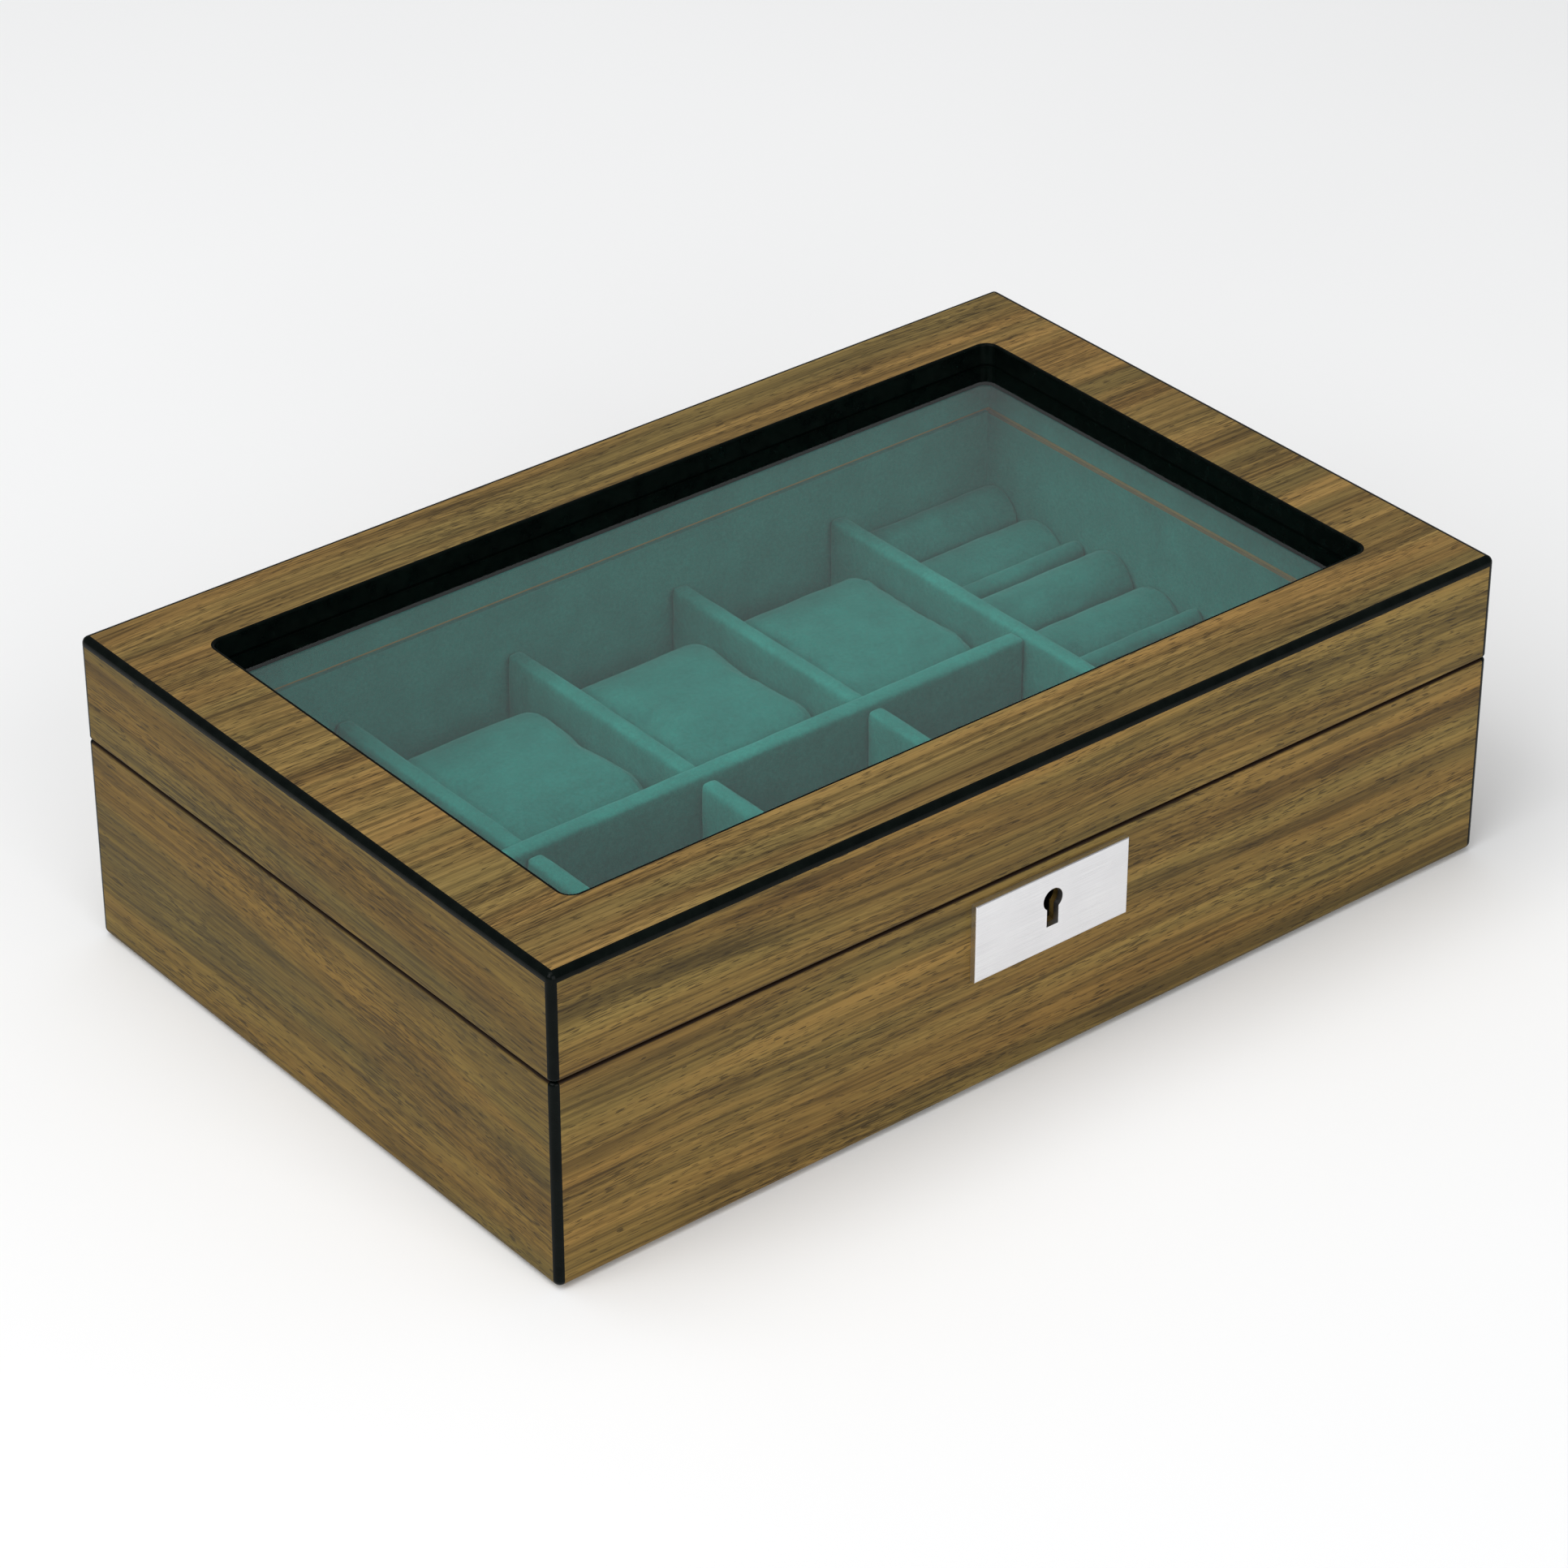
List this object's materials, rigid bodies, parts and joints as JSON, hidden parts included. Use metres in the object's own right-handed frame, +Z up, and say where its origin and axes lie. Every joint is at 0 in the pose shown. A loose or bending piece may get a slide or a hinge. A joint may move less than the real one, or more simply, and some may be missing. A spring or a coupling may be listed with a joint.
{
  "type": "watch box",
  "caption": "Lidded walnut watch box with a glazed hinged lid, key lock, suede-lined bays with lift-out pillows and a cufflink section.",
  "frame": {"origin": "middle of the underside", "axes": "+X along the front to the right, +Y from front to back, +Z up; the lock is on the -Y side and the hinges on the +Y side"},
  "size_m": [0.32, 0.2098, 0.0945],
  "materials": {
    "walnut_veneer": "satin lacquered walnut veneer, grain along each face",
    "black_edging": "glossy black lacquer",
    "black_felt": "black felt",
    "plywood": "raw plywood",
    "window_glass": "clear polished glass with a faint green edge",
    "satin_steel": "satin nickel-plated steel",
    "brass_hardware": "polished brass",
    "bumper_rubber": "black rubber",
    "lining_suede": "teal suede cloth on card",
    "pillow_suede": "teal suede cloth over wadding",
    "pad_suede": "teal suede cloth over foam"
  },
  "bodies": {
    "base": {"back_bay_dividers": "lining_suede", "base_back_liner": "lining_suede", "base_back_wall": "walnut_veneer", "base_corner_beads": "black_edging", "base_floor": "plywood", "base_front_wall": "walnut_veneer", "base_left_liner": "lining_suede", "base_left_wall": "walnut_veneer", "base_pad": "black_felt", "base_right_liner": "lining_suede", "base_right_wall": "walnut_veneer", "cufflink_bed": "pad_suede", "cufflink_divider": "lining_suede", "cufflink_ledges": "pad_suede", "cufflink_mid_rolls": "pad_suede", "cufflink_wide_rolls": "pad_suede", "floor_liner": "lining_suede", "front_bay_dividers": "lining_suede", "front_filler": "lining_suede", "hinge_base_leaves": "brass_hardware", "hinge_base_screws": "brass_hardware", "hinge_pins": "brass_hardware", "lock_cap": "brass_hardware", "lock_case": "brass_hardware", "lock_escutcheon": "satin_steel", "lock_key_pin": "brass_hardware", "long_divider": "lining_suede", "rim_bumpers": "bumper_rubber"},
    "lid": {"glass_pane": "window_glass", "glass_retainer": "black_edging", "hinge_lid_leaves": "brass_hardware", "hinge_lid_screws": "brass_hardware", "lid_back_liner": "lining_suede", "lid_back_wall": "walnut_veneer", "lid_corner_beads": "black_edging", "lid_frame_liner": "lining_suede", "lid_front_liner": "lining_suede", "lid_front_wall": "walnut_veneer", "lid_left_liner": "lining_suede", "lid_left_wall": "walnut_veneer", "lid_right_liner": "lining_suede", "lid_right_wall": "walnut_veneer", "lid_strike": "brass_hardware", "lid_top_beads": "black_edging", "lid_top_panel": "walnut_veneer", "strike_screws": "brass_hardware", "window_trim": "black_edging"},
    "lock_bolt": {"lock_bolt": "brass_hardware"},
    "pillow_back_1": {"pillow_back_1": "pillow_suede"},
    "pillow_back_2": {"pillow_back_2": "pillow_suede"},
    "pillow_back_3": {"pillow_back_3": "pillow_suede"},
    "pillow_back_4": {"pillow_back_4": "pillow_suede"},
    "pillow_front_1": {"pillow_front_1": "pillow_suede"},
    "pillow_front_2": {"pillow_front_2": "pillow_suede"},
    "pillow_front_3": {"pillow_front_3": "pillow_suede"},
    "pillow_front_4": {"pillow_front_4": "pillow_suede"}
  },
  "joints": [
    {"name": "lid_hinge", "type": "hinge", "parent": "base", "child": "lid", "pos_m": [0, 0.103, 0.0628], "axis": [-1, 0, 0], "range_deg": [0, 95]},
    {"name": "lock_bolt_slide", "type": "slide", "parent": "base", "child": "lock_bolt", "axis": [1, 0, 0], "range_m": [0, 0.005]},
    {"name": "pillow_back_1_lift", "type": "slide", "parent": "base", "child": "pillow_back_1", "axis": [0, 0, 1], "range_m": [0, 0.036]},
    {"name": "pillow_back_2_lift", "type": "slide", "parent": "base", "child": "pillow_back_2", "axis": [0, 0, 1], "range_m": [0, 0.036]},
    {"name": "pillow_back_3_lift", "type": "slide", "parent": "base", "child": "pillow_back_3", "axis": [0, 0, 1], "range_m": [0, 0.036]},
    {"name": "pillow_back_4_lift", "type": "slide", "parent": "base", "child": "pillow_back_4", "axis": [0, 0, 1], "range_m": [0, 0.036]},
    {"name": "pillow_front_1_lift", "type": "slide", "parent": "base", "child": "pillow_front_1", "axis": [0, 0, 1], "range_m": [0, 0.036]},
    {"name": "pillow_front_2_lift", "type": "slide", "parent": "base", "child": "pillow_front_2", "axis": [0, 0, 1], "range_m": [0, 0.036]},
    {"name": "pillow_front_3_lift", "type": "slide", "parent": "base", "child": "pillow_front_3", "axis": [0, 0, 1], "range_m": [0, 0.036]},
    {"name": "pillow_front_4_lift", "type": "slide", "parent": "base", "child": "pillow_front_4", "axis": [0, 0, 1], "range_m": [0, 0.036]}
  ]
}
